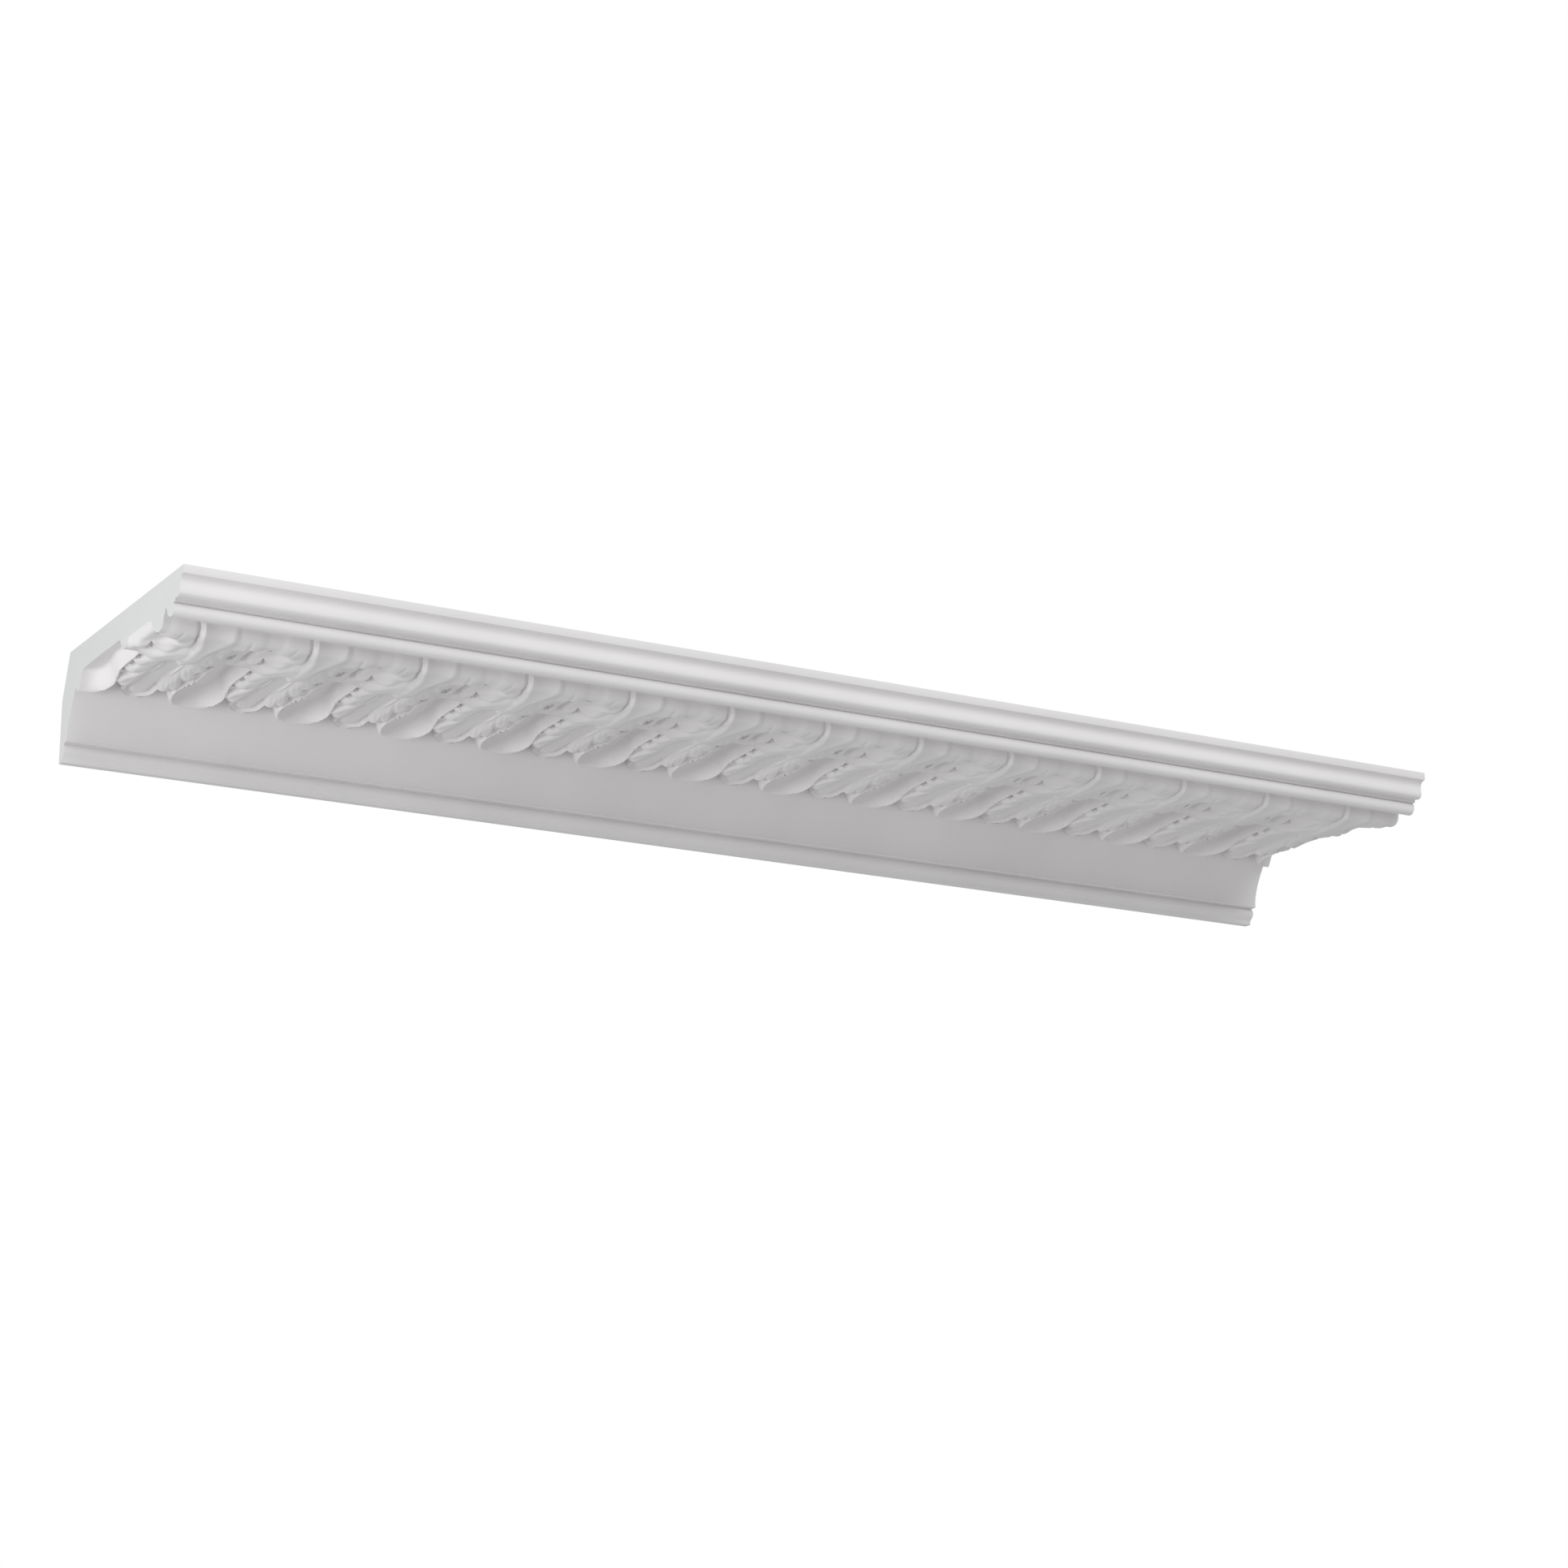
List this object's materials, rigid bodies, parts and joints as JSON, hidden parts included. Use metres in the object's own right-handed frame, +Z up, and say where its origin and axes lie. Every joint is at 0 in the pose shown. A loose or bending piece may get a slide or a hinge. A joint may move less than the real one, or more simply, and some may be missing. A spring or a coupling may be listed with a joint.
{
  "type": "plaster cornice with acanthus leaf soffit",
  "caption": "Straight run of plaster cornice, with a carved acanthus leaf band along its soffit between a moulded crown and a plain cove.",
  "frame": {"origin": "centre of the flat back face that sits against the wall", "axes": "+X along the length, to the right for a viewer in the room who faces the wall; +Y into the wall; +Z up"},
  "size_m": [1, 0.2283, 0.076],
  "materials": {
    "plaster": "matte"
  },
  "bodies": {
    "root": {"cornice": "plaster"}
  },
  "joints": []
}
